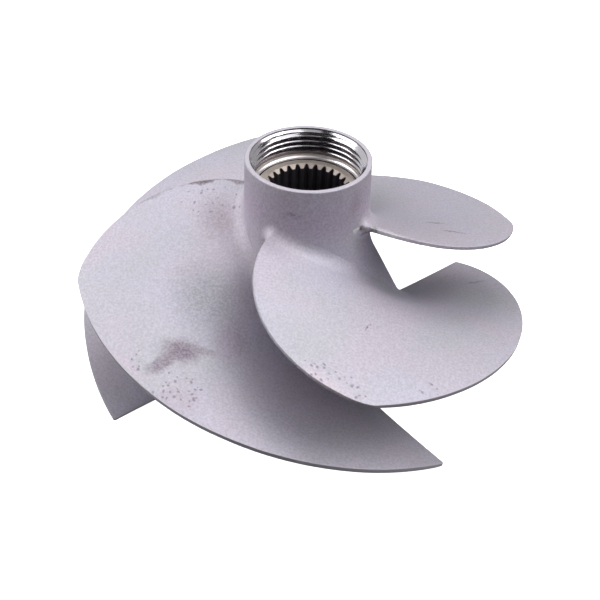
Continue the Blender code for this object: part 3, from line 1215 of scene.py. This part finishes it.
@dataclass
class ImpellerCasting:
    """The whole casting: the hub with its four blades grown together into one closed skin."""

    hub: Hub = field(default_factory=Hub)
    smooth_angle: float = math.radians(38)
    # One row for each blade; the front blade has taken the most knocks
    nicks: tuple[tuple[Nick, ...], ...] = (
        (Nick(60.0, 0.35, 0.8), Nick(66.0, 0.25, 0.6), Nick(72.5, 0.4, 0.7), Nick(76.0, 0.3, 0.5)),
        (Nick(27.0, 0.5, 1.0), Nick(44.0, 0.2, 0.7)),
        (Nick(52.0, 0.3, 0.8), Nick(70.0, 0.3, 0.6)),
        (Nick(38.0, 0.25, 0.9), Nick(47.0, 0.3, 0.7), Nick(61.0, 0.2, 0.6)),
    )

    def build(self) -> bpy.types.Object:
        """Join the blades to the hub.

        Returns:
            The closed casting, not yet dressed.
        """
        casting = self.hub.build()
        blades = [Blade(number, nicks).build(self.hub) for number, nicks in enumerate(self.nicks)]
        for blade in blades:
            union = casting.modifiers.new(blade.name, "BOOLEAN")
            union.operation = "UNION"
            union.solver = "MANIFOLD"
            union.object = blade
        apply_modifiers(casting)
        for blade in blades:
            bpy.data.objects.remove(blade, do_unlink=True)
        casting.name = casting.data.name = "impeller_skin"
        return casting

    def dress(self, casting: bpy.types.Object) -> None:
        """Give the casting its finishes and its smooth shading.

        Args:
            casting: The closed casting.
        """
        finishes = {
            Surface.BLASTED: BlastedStainless(),
            # Cut bright, so it mirrors the lamps in thin lines along the crests
            Surface.THREADED: TurnedStainless("turned_stainless", "#CFCCD2", 0.16),
            # Turned with a round tool, so it shows one broad pale band
            Surface.COVED: TurnedStainless("coved_stainless", "#F3EEEE", 0.34),
            # Bored and full of old oil, so it looks nearly black
            Surface.OILED: GroundSteel("oiled_bore_steel", "#6E6A70", 0.55),
            # Blasted after it was turned, so rim and tips are paler and more even than the cast faces
            Surface.TURNED_OUTSIDE: TurnedStainless("blasted_turned_stainless", "#DEDAE2", 0.82),
            # Painted shade: a dark brownish grey stands in for the shade in the groove
            Surface.RELIEF: TurnedStainless("relief_groove_stainless", "#736D6E", 0.26),
        }
        dress_faces(casting, finishes, self.hub.surface_of, self.smooth_angle)
        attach(casting, "root")
        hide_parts("impeller_casting")


@dataclass
class SplineBushing:
    """The splined bushing in the bottom of the socket."""

    top: float = 67.6
    bottom: float = 42.3
    outer_radius: float = 17.4
    outer_round: float = 0.15
    chamfer: float = 0.5
    teeth: int = 28
    phase: float = math.radians(92.1)
    tip_radius: float = 13.6
    root_radius: float = 14.7
    root_half: float = 0.42
    root_crown: float = 0.1
    root_round: float = 0.14
    flank: float = math.radians(30)
    lead_in: float = 1.3
    lead_steps: int = 8
    # Nothing outside this radius belongs to the splined bore
    bore_limit: float = 15.0
    # A face is a wall if its normal rises less than the first, and a slope if less than the second
    wall_rise: float = 0.5
    slope_rise: float = 0.9
    points_per_tooth: int = 18
    smooth_angle: float = math.radians(30)

    def bore_radius(self, angle: float) -> float:
        """Say how far out the splined bore is cut.

        Args:
            angle: Angle round the axis in radians.

        Returns:
            The radius in millimetres.
        """
        pitch = math.tau / self.teeth
        off = (angle - self.phase) / pitch
        aside = abs(off - round(off)) * pitch * self.root_radius
        rounded = self.root_round * min(aside / self.root_half, 1.0) ** 2
        bottom = self.root_radius + self.root_crown - rounded
        return max(bottom - max(aside - self.root_half, 0.0) / math.tan(self.flank), self.tip_radius)

    def shape_vertex(self, place: Vector) -> Vector:
        """Cut the notches into the bore.

        Args:
            place: Where the vertex was turned, in metres.

        Returns:
            Where it belongs.
        """
        radius = off_axis(place)
        if radius > self.bore_limit:
            return place
        cut = self.bore_radius(math.atan2(place.y, place.x))
        return at_radius(place, max(radius, cut), place.z * 1000)

    def surface_of(self, face: bpy.types.MeshPolygon) -> Surface:
        """Tell how a face of the bushing was left; only its end faces and its outside are ground.

        Args:
            face: A face of the bushing.

        Returns:
            Its surface.
        """
        radius = off_axis(face.center)
        if radius < self.bore_limit and face.normal.z < self.wall_rise:
            return Surface.SPLINED
        if radius < self.tip_radius + self.lead_in and face.normal.z < self.slope_rise:
            return Surface.COUNTERSUNK
        return Surface.GROUND

    def build(self) -> bpy.types.Object:
        """Turn the sleeve and cut its notches.

        Returns:
            The closed bushing, not yet dressed.
        """
        corners = [
            (self.outer_radius, self.top, self.outer_round),
            (self.outer_radius, self.bottom + self.chamfer, 0.0),
            (self.outer_radius - self.chamfer, self.bottom, 0.0),
            (self.tip_radius, self.bottom, 0.0),
            (self.tip_radius, self.top - self.lead_in, 0.0),
        ]
        outline = round_corners(corners)
        for step in range(1, self.lead_steps + 1):
            share = step / self.lead_steps
            outline.append((self.tip_radius + self.lead_in * share, self.top - self.lead_in * (1 - share)))
        bushing = turned_body("bushing_skin", outline, self.teeth * self.points_per_tooth)
        lay_vertices(bushing, self.shape_vertex)
        return bushing

    def dress(self, bushing: bpy.types.Object) -> None:
        """Give the bushing its finishes and its smooth shading.

        Args:
            bushing: The closed bushing.
        """
        finishes = {
            # The end face was ground, so it reflects evenly
            Surface.GROUND: GroundSteel("ground_bushing_steel", "#E8DED6", 0.62),
            # Broached and oily, so the notches look nearly black
            Surface.SPLINED: GroundSteel("oiled_spline_steel", "#6E6A70", 0.55),
            # Worn by the shaft, so it is a shade darker than the end face
            Surface.COUNTERSUNK: GroundSteel("worn_countersink_steel", "#C9BEB6", 0.6),
        }
        dress_faces(bushing, finishes, self.surface_of, self.smooth_angle)
        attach(bushing, "root")
        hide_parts("spline_bushing")


@dataclass(frozen=True)
class SoftBox:
    """A large square lamp, placed round the object by its azimuth and elevation in degrees.

    Its size and distance are in metres and its power in watts.
    """

    name: str
    azimuth: float
    elevation: float
    power: float
    size: float = 0.8
    distance: float = 1.3

    def place(self, aim: Vector) -> bpy.types.Object:
        """Add the lamp to the scene.

        Args:
            aim: The point that it faces, in metres.

        Returns:
            The lamp.
        """
        turn, rise = math.radians(self.azimuth), math.radians(self.elevation)
        away = Vector((math.sin(turn) * math.cos(rise), -math.cos(turn) * math.cos(rise), math.sin(rise)))
        data = bpy.data.lights.new(self.name, "AREA")
        data.shape = "SQUARE"
        data.size = self.size
        data.energy = self.power
        lamp = bpy.data.objects.new(self.name, data)
        bpy.context.scene.collection.objects.link(lamp)
        lamp.visible_camera = False
        lamp.location = aim + away * self.distance
        lamp.rotation_euler = away.to_track_quat("Z", "Y").to_euler()
        return lamp


@dataclass(frozen=True)
class Studio:
    """A white table in soft light, and the camera at the photograph's viewing angle."""

    lens: float = 62.37
    distance: float = 384.857
    elevation: float = math.radians(39.214)
    roll: float = math.radians(2.203)
    target: Place = (-1.019, 0.0, 17.745)
    lamp_aim_height: float = 40.0
    # Light from below, which starts softly at the horizon
    room_below: float = 0.08
    horizon: float = 0.05
    # The table and its wall, in metres
    table_radius: float = 2.0
    wall_radius: float = 3.0
    wall_height: float = 3.0
    cove_steps: int = 8
    table_segments: int = 96
    table_glow: float = 0.95
    boxes: tuple[SoftBox, ...] = (
        SoftBox("left_box", -90.0, 45.0, 6.85),
        SoftBox("right_box", 90.0, 45.0, 6.31),
        SoftBox("high_right_box", 90.0, 64.0, 2.94),
        SoftBox("high_back_box", 180.0, 62.0, 3.75),
        SoftBox("front_box", 0.0, 48.0, 1.2),
        SoftBox("front_right_box", 45.0, 45.0, 3.75),
        SoftBox("low_left_box", -90.0, 15.0, 3.6),
        SoftBox("low_back_left_box", -135.0, 20.0, 2.9, 1.1),
        SoftBox("low_back_right_box", 135.0, 20.0, 1.7, 1.1),
    )

    def add_camera(self) -> bpy.types.Object:
        """Put the camera where the photograph was taken from.

        Returns:
            The camera.
        """
        data = bpy.data.cameras.new("photo_camera")
        data.lens = self.lens
        data.clip_start = 0.01
        camera = bpy.data.objects.new("photo_camera", data)
        bpy.context.scene.collection.objects.link(camera)
        level_up = Vector((0, math.sin(self.elevation), math.cos(self.elevation)))
        back = Vector((0, -math.cos(self.elevation), math.sin(self.elevation)))
        right = math.cos(self.roll) * Vector((1, 0, 0)) + math.sin(self.roll) * level_up
        turned = Matrix((right, back.cross(right), back)).transposed().to_4x4()
        place = Vector(self.target) * 0.001 + back * mm(self.distance)
        camera.matrix_world = Matrix.Translation(place) @ turned
        bpy.context.scene.camera = camera
        return camera

    def add_table(self) -> bpy.types.Object:
        """Lay a white table whose edge curves up into a wall, both glowing evenly as a lit table does.

        Returns:
            The table, which isn't part of the object.
        """
        deselect_everything()
        bpy.ops.mesh.primitive_circle_add(
            vertices=self.table_segments, radius=self.table_radius, fill_type="NGON"
        )
        table = bpy.context.object
        table.name = "table"
        bpy.ops.object.mode_set(mode="EDIT")
        cove = self.wall_radius - self.table_radius
        radius, height = self.table_radius, 0.0
        for step in range(1, self.cove_steps + 1):
            angle = math.pi / 2 * step / self.cove_steps
            next_radius = self.table_radius + cove * math.sin(angle)
            next_height = cove * (1 - math.cos(angle))
            extrude_ring(next_height - height, next_radius / radius, next_height)
            radius, height = next_radius, next_height
        extrude_ring(self.wall_height - height, 1.0, self.wall_height)
        bpy.ops.mesh.delete(type="ONLY_FACE")
        bpy.ops.object.mode_set(mode="OBJECT")
        glow = {"Emission Color": (1, 1, 1, 1), "Emission Strength": self.table_glow}
        paint = {"Base Color": linear("#D8D8D8"), "Roughness": 0.9, "Specular IOR Level": 0.0}
        table.data.materials.append(new_material("white_lit_table", {**paint, **glow})[0])
        # The metal mirrors the darker room instead, which keeps the hub's side as grey as it is
        table.visible_glossy = False
        table.visible_shadow = False
        return table

    def add_room(self) -> None:
        """Give the room a weak light from below, with all the rest of the light left to the lamps."""
        world = bpy.data.worlds.new("room")
        bpy.context.scene.world = world
        world.use_nodes = True
        tree = world.node_tree
        coords = add_node(tree, "TexCoord")
        split = add_node(tree, "SeparateXYZ", {0: coords.outputs["Generated"]})
        down = {"Value": split.outputs["Z"], "From Min": self.horizon, "From Max": -self.horizon}
        level = add_node(tree, "MapRange", {**down, "To Max": self.room_below})
        tree.links.new(level.outputs[0], tree.nodes["Background"].inputs["Color"])

    def build(self) -> None:
        """Set up the camera, the table, the room and the lamps."""
        bpy.context.scene.view_settings.view_transform = "Standard"
        self.add_camera()
        self.add_table()
        self.add_room()
        for box in self.boxes:
            box.place(Vector((0, 0, mm(self.lamp_aim_height))))


def main() -> None:
    """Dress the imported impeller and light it."""
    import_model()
    for maker in (ImpellerCasting(), SplineBushing()):
        piece = maker.build()
        maker.dress(piece)
        LOG.info("%s: %d faces", piece.name, len(piece.data.polygons))
    Studio().build()
    LOG.info("studio: camera, table, room and lamps")


if __name__ == "__main__":
    logging.basicConfig(level=logging.INFO)
    main()
